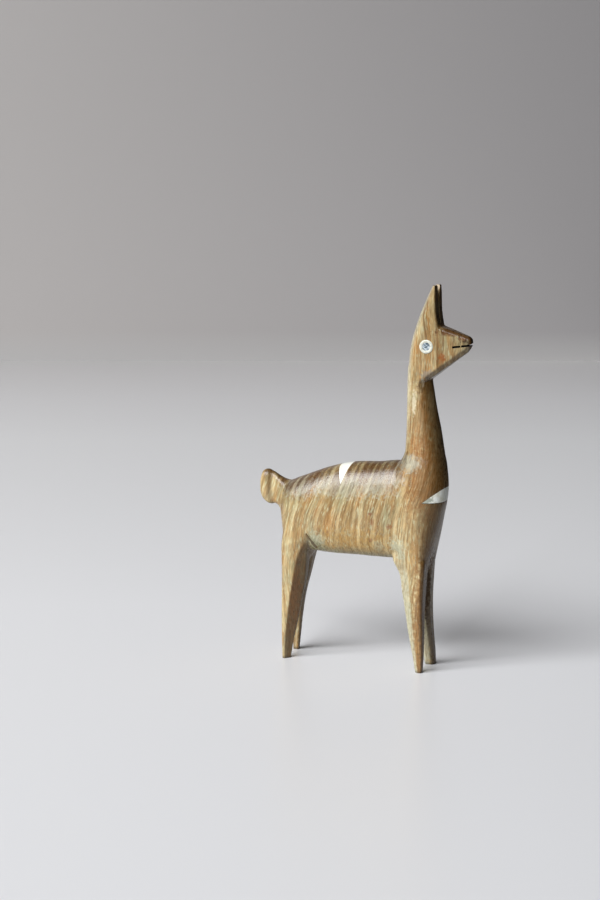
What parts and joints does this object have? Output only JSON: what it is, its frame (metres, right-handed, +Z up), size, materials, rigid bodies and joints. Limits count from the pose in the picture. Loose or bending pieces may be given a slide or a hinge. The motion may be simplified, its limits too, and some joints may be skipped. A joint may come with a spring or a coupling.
{
  "type": "carved wooden vicuna figurine",
  "caption": "Small standing vicuna carved from dense brown wood, with bone wedges let into back and chest, bone ring eyes and a sawn mouth; a shelf ornament.",
  "frame": {"origin": "on the ground, under the middle of the bounding box", "axes": "+X towards the nose, +Z up, +Y towards the animal's left side"},
  "size_m": [0.0816, 0.0182, 0.14],
  "materials": {
    "palo_santo_wood": "whittled, sanded and waxed to a low sheen",
    "bone": "sanded flush, satin",
    "grey_filler": "polished"
  },
  "bodies": {
    "root": {"torso": "palo_santo_wood", "neck": "palo_santo_wood", "head": "palo_santo_wood", "ear_left": "palo_santo_wood", "ear_right": "palo_santo_wood", "tail": "palo_santo_wood", "leg_front_left": "palo_santo_wood", "leg_front_right": "palo_santo_wood", "leg_hind_left": "palo_santo_wood", "leg_hind_right": "palo_santo_wood", "back_inlay": "bone", "chest_inlay": "bone", "eye_ring_left": "bone", "eye_ring_right": "bone", "eye_pupil_left": "grey_filler", "eye_pupil_right": "grey_filler"}
  },
  "joints": []
}
